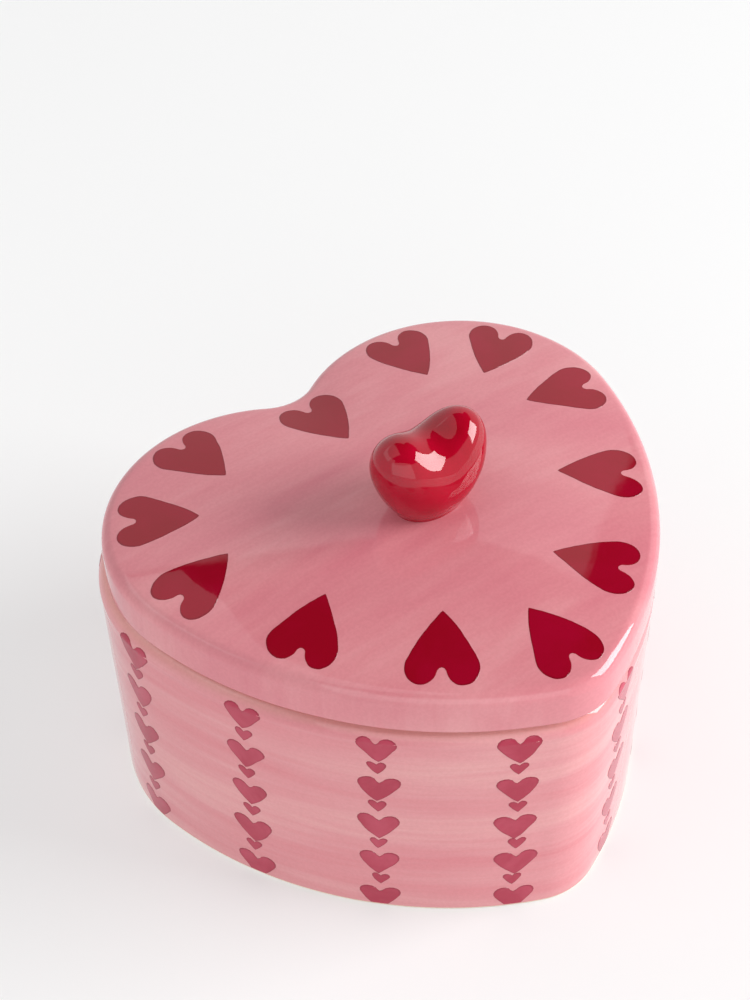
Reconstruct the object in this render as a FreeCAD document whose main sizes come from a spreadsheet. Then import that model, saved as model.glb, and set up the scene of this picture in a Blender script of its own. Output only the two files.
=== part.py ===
"""Heart-shaped ceramic trinket box: a slip-cast vessel, a domed lid and a knob.

Frame: +Z up, the tip of the heart towards -Y, the notch towards +Y. The origin
is the centre of the footprint, on the surface that the box stands on.
"""

import FreeCAD, Part
import math
import os

import Sketcher

# ---------------------------------------------------------------- driving sizes

SIZES = {
    # heart outline of the lid, seen from above
    "lobe_x": (24.6, "lobe centre, sideways from the axis"),
    "lobe_y": (19.1, "lobe centre, towards the notch"),
    "lobe_radius": (35.4, "radius of each lobe"),
    "notch_radius": (10.85, "radius of the hollow between the lobes"),
    "side_radius": (91.0, "radius of each long side"),
    "tip_radius": (17.0, "radius of the rounded tip"),
    "tip_y": (37.5, "centre of the tip's arc, away from the notch"),
    # vessel
    "overhang": (0.76, "how far the vessel stands out past the lid"),
    "taper": (1.7, "how much the wall leans in from shoulder to foot"),
    "rim_height": (58.4, "top of the vessel's rim"),
    "wall": (5.5, "wall thickness at the rim"),
    "inner_taper": (1.4, "extra wall thickness at the floor"),
    "floor_height": (6.5, "top of the floor inside"),
    "floor_fillet": (7.0, "round between wall and floor inside"),
    "shoulder_fillet": (3.7, "round of the outer shoulder"),
    "lip_fillet": (1.2, "round of the inner lip"),
    "foot_fillet": (0.7, "round of the edge of the foot"),
    "foot_width": (7.0, "width of the unglazed foot ring"),
    "foot_recess": (1.5, "depth of the hollow under the vessel"),
    # lid
    "seat_gap": (0.3, "gap that uneven glaze leaves between lid and rim"),
    "edge_round": (0.9, "round of the lid's lower edge"),
    "edge_side": (7.2, "height where the upright edge turns into the round"),
    "edge_inset": (3.0, "sideways half-axis of the edge's elliptic round"),
    "edge_rise": (3.0, "upright half-axis of the edge's elliptic round"),
    "dome_rise": (3.9, "rise of the dome above the edge round"),
    "shell": (4.6, "thickness of the dome"),
    "under_round": (2.5, "round between flange and dome inside"),
    "flange_gap": (1.3, "play between the flange and the vessel's mouth"),
    "flange_wall": (3.0, "thickness of the locating flange"),
    "flange_depth": (5.0, "how deep the flange reaches into the vessel"),
    "lid_right": (0.6, "how far the loose lid lies off centre, sideways"),
    "lid_forward": (0.6, "how far the loose lid lies off centre, towards the tip"),
    # knob
    "knob_right": (1.8, "how far the knob stands off the lid's centre, sideways"),
    "knob_back": (0.8, "how far the knob stands off the lid's centre, towards the notch"),
    "knob_width": (26.2, "width over both lobes"),
    "knob_depth": (17.0, "thickness from front to back"),
    "knob_waist": (14.2, "height of the widest point"),
    "knob_crest": (20.3, "height of the lobes"),
    "knob_crest_x": (7.4, "sideways place of each lobe's crest"),
    "knob_valley": (18.3, "height of the cleft between the lobes"),
    "knob_sink": (1.5, "how far the full heart reaches below the dome's top"),
}

EDGE_TURNS = (0, 16, 32, 48, 64, 80)    # degrees round the lid's edge
DOME_SCALES = (0.9, 0.78, 0.64, 0.5, 0.36, 0.2)    # scale of the outline up the dome
KNOB_STATIONS = (0.0, 0.22, 0.44, 0.62, 0.78, 0.9, 0.97)    # places along half the knob

doc = FreeCAD.newDocument("TrinketBox")
sheet = doc.addObject("Spreadsheet::Sheet", "Dims")
for row, (alias, (value, meaning)) in enumerate(SIZES.items(), start=1):
    sheet.set(f"A{row}", meaning)
    sheet.set(f"B{row}", str(value))
    sheet.setAlias(f"B{row}", alias)
doc.recompute()


def size(alias):
    """Value of a driving size, read back from the sheet."""
    return float(sheet.get(alias))


# ------------------------------------------------------------- heart outlines


def heart_arcs(inset, scale):
    """The six tangent arcs of a heart, parallel to the lid's outline by inset."""
    lobe_x = size("lobe_x") * scale
    lobe_y = size("lobe_y") * scale
    tip_y = -size("tip_y") * scale
    lobe_r = (size("lobe_radius") - inset) * scale
    notch_r = (size("notch_radius") + inset) * scale
    side_r = (size("side_radius") - inset) * scale
    tip_r = (size("tip_radius") - inset) * scale

    notch_y = lobe_y + math.sqrt((lobe_r + notch_r) ** 2 - lobe_x**2)
    notch_turn = math.atan2(notch_y - lobe_y, lobe_x)

    # centre of the right-hand side arc, where it touches both lobe and tip
    span = math.hypot(lobe_x, lobe_y - tip_y)
    to_lobe = side_r - lobe_r
    to_tip = side_r - tip_r
    along = (to_tip**2 - to_lobe**2 + span**2) / (2 * span)
    across = math.sqrt(to_tip**2 - along**2)
    unit_x = lobe_x / span
    unit_y = (lobe_y - tip_y) / span
    side_x = along * unit_x - across * unit_y
    side_y = tip_y + along * unit_y + across * unit_x
    lobe_turn = math.atan2(lobe_y - side_y, lobe_x - side_x)
    tip_turn = math.atan2(tip_y - side_y, -side_x)

    def arc(x, y, radius, start, end):
        circle = Part.Circle(FreeCAD.Vector(x, y, 0), FreeCAD.Vector(0, 0, 1), radius)
        return Part.ArcOfCircle(circle, start, end)

    full = math.pi
    return [
        arc(0, notch_y, notch_r, full + notch_turn, 2 * full - notch_turn),
        arc(lobe_x, lobe_y, lobe_r, lobe_turn, full - notch_turn),
        arc(side_x, side_y, side_r, tip_turn, lobe_turn),
        arc(0, tip_y, tip_r, -full - tip_turn, tip_turn),
        arc(-side_x, side_y, side_r, full - lobe_turn, full - tip_turn),
        arc(-lobe_x, lobe_y, lobe_r, notch_turn, full - lobe_turn),
    ]


NOTCH, LOBE_R, SIDE_R, TIP, SIDE_L, LOBE_L = range(6)
START, END, CENTRE = 1, 2, 3
ORIGIN, X_AXIS, Y_AXIS = (-1, 1), -1, -2


def bind(sketch, constraint, expression):
    """Add a dimension to a sketch and bind it to cells of the sheet."""
    index = sketch.addConstraint(constraint)
    sketch.setExpression(f"Constraints[{index}]", expression)


def heart_sketch(body, name, height, inset="0 mm", scale=1.0):
    """A fully dimensioned heart outline, parallel to the footprint.

    height and inset are expressions on the sheet. The outline is the lid's,
    moved inwards by inset and then scaled about the origin.
    """
    sketch = body.newObject("Sketcher::SketchObject", name)
    flat = next(f for f in body.Origin.OriginFeatures if f.Role == "XY_Plane")
    sketch.AttachmentSupport = [(flat, "")]
    sketch.MapMode = "FlatFace"
    sketch.setExpression("AttachmentOffset.Base.z", height)
    doc.recompute()

    # the sheet works out the inset, so that the arcs start where they belong
    sketch.addProperty("App::PropertyDistance", "Inset", "Heart", "inset of the outline")
    sketch.setExpression("Inset", inset)
    doc.recompute()
    add_heart(sketch, sketch.Inset.Value, scale, f"({inset})")
    return sketch


def add_heart(sketch, inset, scale, inset_text):
    """Draw one heart in a sketch and constrain it to the sheet's sizes."""
    first = sketch.GeometryCount
    sketch.addGeometry(heart_arcs(inset, scale), False)
    geo = [first + i for i in range(6)]

    def tangent(arc_a, end_a, arc_b, end_b):
        sketch.addConstraint(
            Sketcher.Constraint("Tangent", geo[arc_a], end_a, geo[arc_b], end_b)
        )

    tangent(NOTCH, END, LOBE_R, END)
    tangent(LOBE_R, START, SIDE_R, END)
    tangent(SIDE_R, START, TIP, END)
    tangent(TIP, START, SIDE_L, END)
    tangent(SIDE_L, START, LOBE_L, END)
    tangent(LOBE_L, START, NOTCH, START)
    sketch.addConstraint(
        Sketcher.Constraint("Symmetric", geo[LOBE_L], CENTRE, geo[LOBE_R], CENTRE, Y_AXIS)
    )
    sketch.addConstraint(Sketcher.Constraint("PointOnObject", geo[TIP], CENTRE, Y_AXIS))
    sketch.addConstraint(Sketcher.Constraint("Equal", geo[LOBE_L], geo[LOBE_R]))
    sketch.addConstraint(Sketcher.Constraint("Equal", geo[SIDE_L], geo[SIDE_R]))

    def place(kind, low, high, value, alias):
        constraint = Sketcher.Constraint(kind, *low, *high, value)
        bind(sketch, constraint, f"Dims.{alias} * {scale} * 1 mm")

    def radius(arc, value, alias, sign):
        constraint = Sketcher.Constraint("Radius", geo[arc], value)
        bind(sketch, constraint, f"(Dims.{alias} * 1 mm {sign} {inset_text}) * {scale}")

    lobe = (geo[LOBE_R], CENTRE)
    tip = (geo[TIP], CENTRE)
    place("DistanceX", ORIGIN, lobe, size("lobe_x") * scale, "lobe_x")
    place("DistanceY", ORIGIN, lobe, size("lobe_y") * scale, "lobe_y")
    place("DistanceY", tip, ORIGIN, size("tip_y") * scale, "tip_y")
    radius(LOBE_R, (size("lobe_radius") - inset) * scale, "lobe_radius", "-")
    radius(NOTCH, (size("notch_radius") + inset) * scale, "notch_radius", "+")
    radius(SIDE_R, (size("side_radius") - inset) * scale, "side_radius", "-")
    radius(TIP, (size("tip_radius") - inset) * scale, "tip_radius", "-")


def make_body(name, label):
    """An empty PartDesign body with its own name and label."""
    body = doc.addObject("PartDesign::Body", name)
    body.Label = label
    return body


def loft(body, name, kind, sections):
    """An additive or subtractive loft through heart outlines, ruled between them."""
    feature = body.newObject(f"PartDesign::{kind}Loft", name)
    feature.Profile = sections[0]
    feature.Sections = sections[1:]
    feature.Ruled = True
    doc.recompute()
    return feature


def pad(body, name, sketch, length, down=False, taper=None):
    """Pad a sketch by a length that the sheet works out."""
    feature = body.newObject("PartDesign::Pad", name)
    feature.Profile = sketch
    feature.setExpression("Length", length)
    feature.Reversed = down
    if taper:
        feature.setExpression("TaperAngle", taper)
    doc.recompute()
    return feature


def pocket(body, name, sketch, depth, upwards=False, taper=None):
    """Cut a sketch into the body and make sure that it took material away."""
    before = body.Shape.Volume
    feature = body.newObject("PartDesign::Pocket", name)
    feature.Profile = sketch
    feature.setExpression("Length", depth)
    feature.Reversed = upwards
    if taper:
        feature.setExpression("TaperAngle", taper)
    doc.recompute()
    if body.Shape.Volume >= before - 1:
        raise RuntimeError(f"{name} cuts nothing")
    return feature


def edges_at(shape, height, outer):
    """Names of the edges of the outermost or innermost outline at a height."""
    flat = [
        (index, edge)
        for index, edge in enumerate(shape.Edges, start=1)
        if abs(edge.BoundBox.ZMin - height) < 0.01 and abs(edge.BoundBox.ZMax - height) < 0.01
    ]
    loops = Part.sortEdges([edge for _, edge in flat])
    loops.sort(key=lambda loop: Part.Wire(loop).BoundBox.XLength)
    chosen = loops[-1] if outer else loops[0]
    return [
        f"Edge{index}"
        for index, edge in flat
        if any(edge.isSame(other) or edge.CenterOfMass.isEqual(other.CenterOfMass, 1e-4)
               for other in chosen)
    ]


def fillet(body, name, base, edges, radius):
    """Round edges of a feature by a radius from the sheet."""
    feature = body.newObject("PartDesign::Fillet", name)
    feature.Base = (base, edges)
    feature.setExpression("Radius", radius)
    doc.recompute()
    return feature


# -------------------------------------------------------------------- box body

box = make_body("BoxBody", "box_body")
mouth = "(Dims.wall - Dims.overhang) * 1 mm"
vessel = pad(
    box,
    "Vessel",
    heart_sketch(box, "FootOutline", "0 mm", "(Dims.taper - Dims.overhang) * 1 mm"),
    "Dims.rim_height * 1 mm",
    taper="atan(Dims.taper / Dims.rim_height)",
)
shoulder = fillet(
    box, "Shoulder", vessel, edges_at(box.Shape, size("rim_height"), True),
    "Dims.shoulder_fillet * 1 mm",
)
foot = fillet(box, "FootEdge", shoulder, edges_at(box.Shape, 0, True), "Dims.foot_fillet * 1 mm")
hollow = pocket(
    box,
    "Hollow",
    heart_sketch(box, "Mouth", "Dims.rim_height * 1 mm", mouth),
    "(Dims.rim_height - Dims.floor_height) * 1 mm",
    taper="-atan(Dims.inner_taper / (Dims.rim_height - Dims.floor_height))",
)
floor_round = fillet(
    box, "FloorRound", hollow, edges_at(box.Shape, size("floor_height"), True),
    "Dims.floor_fillet * 1 mm",
)
lip = fillet(
    box, "Lip", floor_round, edges_at(box.Shape, size("rim_height"), False),
    "Dims.lip_fillet * 1 mm",
)
recess = pocket(
    box,
    "FootRecess",
    heart_sketch(
        box, "RecessOutline", "0 mm", "(Dims.taper - Dims.overhang + Dims.foot_width) * 1 mm"
    ),
    "Dims.foot_recess * 1 mm",
    upwards=True,
)

# ------------------------------------------------------------------------- lid

lid = make_body("Lid", "lid")
LID_X = "Dims.lid_right * 1 mm"
LID_Y = "-Dims.lid_forward * 1 mm"
lid.setExpression("Placement.Base.x", LID_X)
lid.setExpression("Placement.Base.y", LID_Y)
SEAT = "(Dims.rim_height + Dims.seat_gap) * 1 mm"
last_turn = math.radians(EDGE_TURNS[-1])
inset_at_dome = f"Dims.edge_inset * {1 - math.cos(last_turn):.4f} * 1 mm"
dome_foot = f"(Dims.edge_side + Dims.edge_rise * {math.sin(last_turn):.4f}) * 1 mm"


def dome_height(scale):
    """Height above the seat of the dome where the outline has this scale."""
    return f"{SEAT} + {dome_foot} + Dims.dome_rise * {1 - scale**2:.4f} * 1 mm"


sections = [
    heart_sketch(lid, "LidFoot", SEAT, "Dims.edge_round * 1 mm"),
    heart_sketch(
        lid, "LidFootRound", f"{SEAT} + Dims.edge_round * 0.3 mm", "Dims.edge_round * 0.3 mm"
    ),
    heart_sketch(lid, "LidSide", f"{SEAT} + Dims.edge_round * 1 mm"),
]
for turn in EDGE_TURNS:
    across = 1 - math.cos(math.radians(turn))
    up = math.sin(math.radians(turn))
    sections.append(
        heart_sketch(
            lid,
            f"LidRound{turn}",
            f"{SEAT} + (Dims.edge_side + Dims.edge_rise * {up:.4f}) * 1 mm",
            f"Dims.edge_inset * {across:.4f} * 1 mm",
        )
    )
for number, scale in enumerate(DOME_SCALES, start=1):
    sections.append(
        heart_sketch(lid, f"Dome{number}", dome_height(scale), inset_at_dome, scale)
    )
dome = loft(lid, "DomeOutside", "Additive", sections)

flange_outer = "(Dims.wall - Dims.overhang + Dims.flange_gap) * 1 mm"
flange_inner = "(Dims.wall - Dims.overhang + Dims.flange_gap + Dims.flange_wall) * 1 mm"
flange = pad(
    lid, "Flange",
    heart_sketch(lid, "FlangeOutline", SEAT, flange_outer),
    "Dims.flange_depth * 1 mm",
    down=True,
)
ceiling = f"{SEAT} + {dome_foot} - Dims.shell * 1 mm"
under = [
    heart_sketch(lid, "FlangeMouth", f"{SEAT} - Dims.flange_depth * 1 mm", flange_inner),
    heart_sketch(lid, "UnderSide", f"{ceiling} - Dims.under_round * 0.8 mm", flange_inner),
    heart_sketch(
        lid, "UnderRound", f"{ceiling} - Dims.under_round * 0.25 mm",
        f"{flange_inner} + Dims.under_round * 0.5 mm",
    ),
]
for number, scale in enumerate(DOME_SCALES, start=1):
    under.append(
        heart_sketch(
            lid, f"Under{number}", f"{dome_height(scale)} - Dims.shell * 1 mm",
            flange_inner, scale,
        )
    )
inside = loft(lid, "DomeInside", "Subtractive", under)

# ------------------------------------------------------------------------ knob
# An upright puffy heart: ellipses stand side by side along X, each as high as
# the heart's outline there and as deep as its belly.


def knob_shares(place):
    """Shares of the knob's sizes at a place, from 0 at its middle to 1 at its side.

    They are the rise of the upper outline from the waist to the crest, the
    drop of the lower outline below the waist, and the depth.
    """
    crest_place = 2 * size("knob_crest_x") / size("knob_width")
    valley = (size("knob_valley") - size("knob_waist")) / (size("knob_crest") - size("knob_waist"))
    if place < crest_place:
        rise = valley + (1 - valley) * (1 - math.cos(math.pi * place / crest_place)) / 2
    else:
        rise = math.sqrt(1 - ((place - crest_place) / (1 - crest_place)) ** 2)
    drop = (1 - place**2.6) ** 0.62
    depth = math.sqrt(1 - place**2.4)
    return rise, drop, depth


def knob_section(number, place, seat_z):
    """One upright ellipse of the knob, facing sideways."""
    rise, drop, depth = knob_shares(abs(place))
    top = f"(Dims.knob_waist + (Dims.knob_crest - Dims.knob_waist) * {rise:.4f})"
    bottom = f"(Dims.knob_waist - (Dims.knob_waist + Dims.knob_sink) * {drop:.4f})"
    high = f"({top} - {bottom}) * 0.5 mm"
    deep = f"Dims.knob_depth * {depth:.4f} * 0.5 mm"

    section = doc.addObject("Part::Ellipse", f"KnobSection{number}")
    section.setExpression("MajorRadius", f"max({high}; {deep})")
    section.setExpression("MinorRadius", f"min({high}; {deep})")
    doc.recompute()

    # the ellipse lies in XY: stand it up facing X, with its long axis up or level
    upright = FreeCAD.Rotation(
        FreeCAD.Vector(0, 1, 0), FreeCAD.Vector(0, 0, 1), FreeCAD.Vector(1, 0, 0), "XYZ"
    )
    half_depth = size("knob_depth") / 2 * depth
    turn = FreeCAD.Rotation(FreeCAD.Vector(0, 0, 1), 90 if section.MajorRadius > half_depth else 0)
    section.Placement.Rotation = upright * turn
    knob_x = f"{LID_X} + Dims.knob_right * 1 mm"
    section.setExpression("Placement.Base.x", f"{knob_x} + Dims.knob_width * {place / 2:.4f} * 1 mm")
    section.setExpression("Placement.Base.y", f"{LID_Y} + Dims.knob_back * 1 mm")
    section.setExpression("Placement.Base.z", f"{seat_z} + ({top} + {bottom}) * 0.5 mm")
    return section


dome_top = dome_height(DOME_SCALES[-1])
places = [-place for place in reversed(KNOB_STATIONS[1:])] + list(KNOB_STATIONS)
knob_heart = doc.addObject("Part::Loft", "KnobHeart")
knob_heart.Sections = [
    knob_section(number, place, dome_top) for number, place in enumerate(places, start=1)
]
knob_heart.Solid = True

below = doc.addObject("Part::Box", "BelowKnob")
for side in ("Length", "Width", "Height"):
    below.setExpression(side, "Dims.knob_width * 2 mm")
below.setExpression("Placement.Base.x", "-Dims.knob_width * 1 mm")
below.setExpression("Placement.Base.y", "-Dims.knob_width * 1 mm")
below.setExpression("Placement.Base.z", f"{dome_top} - Dims.knob_width * 2 mm")

knob = doc.addObject("Part::Cut", "Knob")
knob.Base = knob_heart
knob.Tool = below
knob.Label = "knob"
doc.recompute()

# ---------------------------------------------------------------- check, write

NODES = [box, lid, knob]


def check(part):
    """Refuse a failed object or a shape that isn't one valid solid."""
    for thing in doc.Objects:
        if "Invalid" in thing.State or "Error" in thing.State:
            raise RuntimeError(f"{thing.Name} failed: {thing.State}")
    if part.Shape.isNull() or not part.Shape.isValid():
        raise RuntimeError(f"{part.Label} isn't a valid shape")
    if len(part.Shape.Solids) != 1:
        raise RuntimeError(f"{part.Label} has {len(part.Shape.Solids)} solids")


doc.recompute()
os.makedirs("parts", exist_ok=True)
for part in NODES:
    check(part)
    box_of = part.Shape.optimalBoundingBox()
    print(
        part.Label,
        f"volume {part.Shape.Volume / 1000:.1f} cm3",
        f"x {box_of.XMin:.2f} {box_of.XMax:.2f}",
        f"y {box_of.YMin:.2f} {box_of.YMax:.2f}",
        f"z {box_of.ZMin:.2f} {box_of.ZMax:.2f}",
    )
    part.Shape.exportStep(f"parts/{part.Label}.step")
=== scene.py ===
"""A heart-shaped ceramic trinket box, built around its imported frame.

The vessel, the lid and the knob are drawn as closed skins of clay, and the
hearts on them as thin layers of underglaze that follow the clay.
"""

import logging
import math
from dataclasses import dataclass, field
from enum import Enum
from functools import cached_property
from typing import Callable, Sequence

import bmesh
import bpy
from mathutils import Matrix, Vector, noise
from mathutils.bvhtree import BVHTree


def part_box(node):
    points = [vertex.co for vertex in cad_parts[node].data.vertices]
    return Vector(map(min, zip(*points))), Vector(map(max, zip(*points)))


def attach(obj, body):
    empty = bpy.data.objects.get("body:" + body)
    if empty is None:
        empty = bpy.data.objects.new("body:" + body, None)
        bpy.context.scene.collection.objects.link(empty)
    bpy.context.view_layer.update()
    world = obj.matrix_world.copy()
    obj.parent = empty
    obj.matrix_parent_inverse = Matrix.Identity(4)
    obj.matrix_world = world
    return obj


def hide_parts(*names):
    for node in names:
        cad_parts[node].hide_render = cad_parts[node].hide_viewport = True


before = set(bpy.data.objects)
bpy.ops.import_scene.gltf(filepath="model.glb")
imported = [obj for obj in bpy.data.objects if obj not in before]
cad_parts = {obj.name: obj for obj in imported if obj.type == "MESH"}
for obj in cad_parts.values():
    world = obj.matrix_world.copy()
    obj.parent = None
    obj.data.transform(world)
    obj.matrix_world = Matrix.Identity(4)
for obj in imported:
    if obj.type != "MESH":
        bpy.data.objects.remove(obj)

LOG = logging.getLogger("trinket_box")
MM = 0.001
UP = Vector((0.0, 0.0, 1.0))
Colour = tuple[float, float, float]

SKIN_COLUMNS = 288  # points round a heart-shaped ring of clay
PLAIN_LENGTH = 1.885  # length of a painted heart's plain outline, which is 2 wide
EDGE_SINK = 0.15 * MM  # how far a painted heart's sunk edge reaches past its outline
UNDERSIDE_SHARE = 0.85  # share of the dome that the lid's underside repeats


# ------------------------------------------------------------------- outlines


@dataclass(frozen=True)
class Arc:
    """One arc of a heart's outline.

    A hollow arc bends the other way, as between the two lobes, so it grows
    when the outline moves inwards.

    Attributes:
        centre: centre of the arc.
        radius: radius on the outline itself.
        start: angle at which the arc starts.
        turn: how far it turns; below 0 is clockwise.
        hollow: whether it bends the other way.
    """

    centre: tuple[float, float]
    radius: float
    start: float
    turn: float
    hollow: bool = False

    @property
    def length(self) -> float:
        """Length of the arc on the outline itself."""
        return self.radius * abs(self.turn)

    def at(self, share: float, inset: float) -> Vector:
        """Point on the arc.

        Args:
            share: how far along the arc, from 0 to 1.
            inset: how far inside the outline.

        Returns:
            The point, at height 0.
        """
        angle = self.start + self.turn * share
        radius = self.radius + inset if self.hollow else self.radius - inset
        x, y = self.centre
        return Vector((x + radius * math.cos(angle), y + radius * math.sin(angle), 0.0))

    def outward(self, share: float) -> Vector:
        """Direction out of the heart.

        Args:
            share: how far along the arc, from 0 to 1.

        Returns:
            The unit vector.
        """
        angle = self.start + self.turn * share
        sign = -1.0 if self.hollow else 1.0
        return Vector((sign * math.cos(angle), sign * math.sin(angle), 0.0))


@dataclass(frozen=True)
class HeartOutline:
    """A heart of tangent arcs, tip towards -Y, symmetric about the Y axis.

    Attributes:
        lobe_x: how far each lobe's centre stands from the axis.
        lobe_y: how far back the lobes' centres are.
        lobe_radius: radius of the lobes.
        notch_radius: radius of the hollow between the lobes.
        side_radius: radius of the long sides.
        tip_radius: radius of the tip.
        tip_y: where the tip's centre is.
    """

    lobe_x: float = 24.6 * MM
    lobe_y: float = 19.1 * MM
    lobe_radius: float = 35.4 * MM
    notch_radius: float = 10.85 * MM
    side_radius: float = 91.0 * MM
    tip_radius: float = 17.0 * MM
    tip_y: float = -37.5 * MM

    @cached_property
    def arcs(self) -> list[Arc]:
        """The four arcs from the tip to the notch, on the +X side."""
        reach = self.lobe_radius + self.notch_radius
        notch_y = self.lobe_y + math.sqrt(reach**2 - self.lobe_x**2)
        notch_turn = math.atan2(notch_y - self.lobe_y, self.lobe_x)

        # the side's centre lies where its arc touches both the lobe and the tip
        span = math.hypot(self.lobe_x, self.lobe_y - self.tip_y)
        to_lobe = self.side_radius - self.lobe_radius
        to_tip = self.side_radius - self.tip_radius
        along = (to_tip**2 - to_lobe**2 + span**2) / (2 * span)
        across = math.sqrt(to_tip**2 - along**2)
        unit_x = self.lobe_x / span
        unit_y = (self.lobe_y - self.tip_y) / span
        side_x = along * unit_x - across * unit_y
        side_y = self.tip_y + along * unit_y + across * unit_x
        lobe_turn = math.atan2(self.lobe_y - side_y, self.lobe_x - side_x)
        tip_turn = math.atan2(self.tip_y - side_y, -side_x)

        down = -math.pi / 2
        lobe_end = math.pi - notch_turn
        return [
            Arc((0.0, self.tip_y), self.tip_radius, down, tip_turn - down),
            Arc((side_x, side_y), self.side_radius, tip_turn, lobe_turn - tip_turn),
            Arc((self.lobe_x, self.lobe_y), self.lobe_radius, lobe_turn, lobe_end - lobe_turn),
            Arc((0.0, notch_y), self.notch_radius, -notch_turn, down + notch_turn, True),
        ]

    @cached_property
    def half_length(self) -> float:
        """Length of the outline from the tip to the notch."""
        return sum(arc.length for arc in self.arcs)

    def _find(self, way: float) -> tuple[Arc, float, float]:
        """Find the arc at a way round.

        Args:
            way: how far round, from 0 at the tip to 1 at the tip again.

        Returns:
            The arc, the share of it and the side, +1 or -1.
        """
        way %= 1.0
        side = 1.0 if way <= 0.5 else -1.0
        left = 2.0 * min(way, 1.0 - way) * self.half_length
        for arc in self.arcs:
            if left <= arc.length:
                return arc, left / arc.length, side
            left -= arc.length
        return self.arcs[-1], 1.0, side

    def at(self, way: float, inset: float = 0.0) -> Vector:
        """Point on the outline.

        Args:
            way: how far round, from 0 at the tip past +X to 1 at the tip again.
            inset: how far inside the outline.

        Returns:
            The point, at height 0.
        """
        arc, share, side = self._find(way)
        point = arc.at(share, inset)
        return Vector((side * point.x, point.y, 0.0))

    def outward(self, way: float) -> Vector:
        """Direction out of the heart.

        Args:
            way: how far round, from 0 at the tip to 1 at the tip again.

        Returns:
            The unit vector.
        """
        arc, share, side = self._find(way)
        normal = arc.outward(share)
        return Vector((side * normal.x, normal.y, 0.0))


# ----------------------------------------------------------------- clay skins


@dataclass(frozen=True)
class Station:
    """One ring of a skin of clay.

    Attributes:
        inset: how far inside the outline the ring lies, before it shrinks.
        height: height of the ring.
        scale: how far the ring has shrunk towards the axis.
        roundness: how far the ring has lost the notch and the tip.
    """

    inset: float
    height: float
    scale: float = 1.0
    roundness: float = 0.0


class Profile:
    """A cross-section of clay, drawn ring by ring from one pole to the other."""

    def __init__(self, first: Station) -> None:
        """Start the profile.

        Args:
            first: its first ring.
        """
        self.stations: list[Station] = [first]

    def line(self, inset: float, height: float, scale: float = 1.0, steps: int = 1) -> None:
        """Go on straight to a ring.

        Args:
            inset: inset of the last ring.
            height: height of the last ring.
            scale: scale of the last ring.
            steps: how many even steps lead to it.
        """
        last = self.stations[-1]
        for step in range(1, steps + 1):
            share = step / steps
            self.stations.append(
                Station(
                    last.inset + (inset - last.inset) * share,
                    last.height + (height - last.height) * share,
                    last.scale + (scale - last.scale) * share,
                )
            )

    def bend(
        self,
        centre: tuple[float, float],
        radii: tuple[float, float],
        degrees: tuple[float, float],
        steps: int,
    ) -> None:
        """Go on round an elliptic bend.

        Args:
            centre: inset and height of the bend's centre.
            radii: half-axes along the inset and along the height.
            degrees: first and last angle; 0 points inwards and 90 up.
            steps: how many rings the bend gets.
        """
        for step in range(1, steps + 1):
            angle = math.radians(degrees[0] + (degrees[1] - degrees[0]) * step / steps)
            self.stations.append(
                Station(
                    centre[0] + radii[0] * math.cos(angle),
                    centre[1] + radii[1] * math.sin(angle),
                )
            )


def grid(columns: int, rows: int, place: Callable[[float, float], Vector]) -> bmesh.types.BMesh:
    """A skin made from a flat grid whose points are moved into place.

    Args:
        columns: number of faces the first way.
        rows: number of faces the second way.
        place: gives a point for its shares, from 0 to 1, of the two ways.

    Returns:
        The skin, with its seam and poles closed and its faces outwards.
    """
    skin = bmesh.new()
    bmesh.ops.create_grid(skin, x_segments=columns, y_segments=rows, size=0.5)
    for vertex in skin.verts:
        vertex.co = place(vertex.co.x + 0.5, vertex.co.y + 0.5)
    bmesh.ops.remove_doubles(skin, verts=skin.verts, dist=0.002 * MM)
    bmesh.ops.dissolve_degenerate(skin, edges=skin.edges, dist=0.001 * MM)
    bmesh.ops.recalc_face_normals(skin, faces=skin.faces)
    return skin


def heart_skin(outline: HeartOutline, profile: Profile, shift: Vector) -> bmesh.types.BMesh:
    """A closed skin of heart-shaped rings.

    Args:
        outline: the heart that the rings follow.
        profile: the rings, from one pole to the other.
        shift: where the axis of the skin stands.

    Returns:
        The closed skin.
    """
    stations = profile.stations
    round_x, round_y = 0.8 * outline.at(0.25).x, -0.86 * outline.at(0.0).y

    def place(across: float, along: float) -> Vector:
        """Point of the skin at shares of the way round and along the rings."""
        station = stations[round(along * (len(stations) - 1))]
        point = outline.at(across, station.inset)
        angle = 2 * math.pi * across - math.pi / 2
        even = Vector((round_x * math.cos(angle), round_y * math.sin(angle), 0.0))
        point = point.lerp(even, station.roundness) * station.scale
        return point + shift + UP * station.height

    return grid(SKIN_COLUMNS, len(stations) - 1, place)


def make_uneven(skin: bmesh.types.BMesh, depth: float, grain: float) -> None:
    """Give a skin the slight waves of hand-finished clay.

    Args:
        skin: the skin to change.
        depth: how far the highest wave stands out.
        grain: how far apart the waves are.
    """
    skin.normal_update()
    for vertex in skin.verts:
        wave = noise.noise(vertex.co / grain) + 0.35 * noise.noise(vertex.co / grain * 2.7)
        vertex.co += vertex.normal * (depth * wave)


def finish_piece(
    name: str,
    skin: bmesh.types.BMesh,
    body: str,
    materials: Sequence[bpy.types.Material],
) -> bpy.types.Object:
    """Turn a skin into a smooth piece that rides on a body.

    Args:
        name: the piece's name.
        skin: its mesh, in the shared frame; it is freed here.
        body: the body that the piece moves with.
        materials: the finishes, in the order of the faces' material numbers.

    Returns:
        The piece.
    """
    mesh = bpy.data.meshes.new(name)
    skin.to_mesh(mesh)
    skin.free()
    for polygon in mesh.polygons:
        polygon.use_smooth = True
    piece = bpy.data.objects.new(name, mesh)
    bpy.context.scene.collection.objects.link(piece)
    for material in materials:
        mesh.materials.append(material)
    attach(piece, body)
    LOG.info("%s: %d faces, rides on %s", name, len(mesh.polygons), body)
    return piece


# ------------------------------------------------------------------- finishes


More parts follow.
